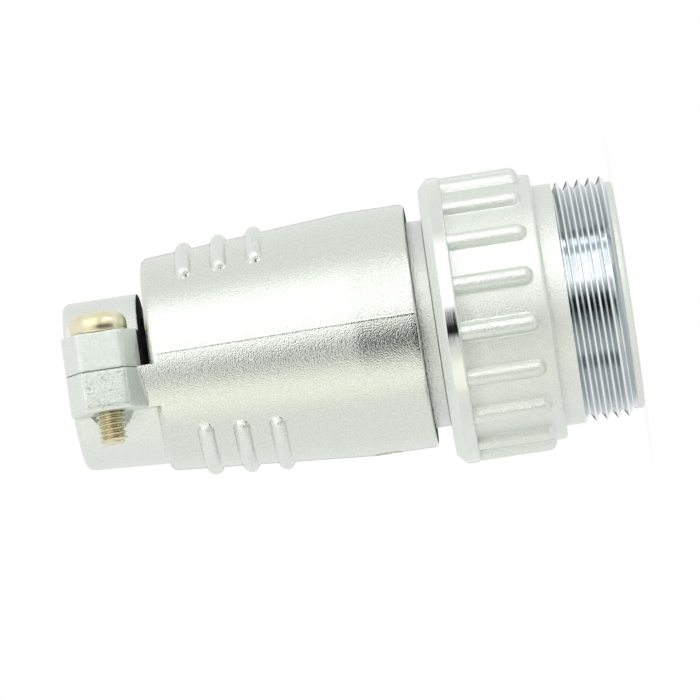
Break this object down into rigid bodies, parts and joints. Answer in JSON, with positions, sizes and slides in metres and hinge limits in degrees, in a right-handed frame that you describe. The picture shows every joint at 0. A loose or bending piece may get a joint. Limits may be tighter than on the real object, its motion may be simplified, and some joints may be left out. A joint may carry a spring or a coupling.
{
  "type": "circular connector",
  "caption": "Cable-end circular connector: threaded metal coupling front, fluted grip, tapered rear shell with finger ridges and a screwed cable clamp.",
  "frame": {"origin": "centre of the mating face, on the connector's axis", "axes": "+Z along the axis from the mating face to the cable, +X towards the loose half of the cable clamp"},
  "size_m": [0.0262, 0.026, 0.051],
  "materials": {
    "satin_chrome": "satin, fine blasted die casting",
    "brass_screw": "bright yellow passivated",
    "insulator": "moulded, matt",
    "spring_steel": "bright drawn",
    "plated_contact": "silver plated"
  },
  "bodies": {
    "shell": {"front_shell": "satin_chrome", "rear_shell": "satin_chrome", "set_screw": "brass_screw", "front_insulator": "insulator", "rear_insulator": "insulator", "retaining_ring": "spring_steel", "contact_1": "plated_contact", "contact_2": "plated_contact", "contact_3": "plated_contact", "contact_4": "plated_contact"},
    "saddle": {"clamp_saddle": "satin_chrome"},
    "left_screw": {"clamp_screw_left": "brass_screw"},
    "right_screw": {"clamp_screw_right": "brass_screw"}
  },
  "joints": [
    {"name": "saddle_slide", "type": "slide", "parent": "shell", "child": "saddle", "axis": [1, 0, 0], "range_m": [0, 0.00315]},
    {"name": "left_screw_turn", "type": "hinge", "parent": "saddle", "child": "left_screw", "pos_m": [0, -0.0088, 0.04755], "axis": [1, 0, 0], "range_deg": [-20, 2540]},
    {"name": "right_screw_turn", "type": "hinge", "parent": "saddle", "child": "right_screw", "pos_m": [0, 0.0088, 0.04755], "axis": [1, 0, 0], "range_deg": [-20, 2540]}
  ],
  "couplings": [
    {"joint": "left_screw_turn", "follows": "saddle_slide", "rad_per_m": 13963},
    {"joint": "right_screw_turn", "follows": "saddle_slide", "rad_per_m": 13963}
  ]
}
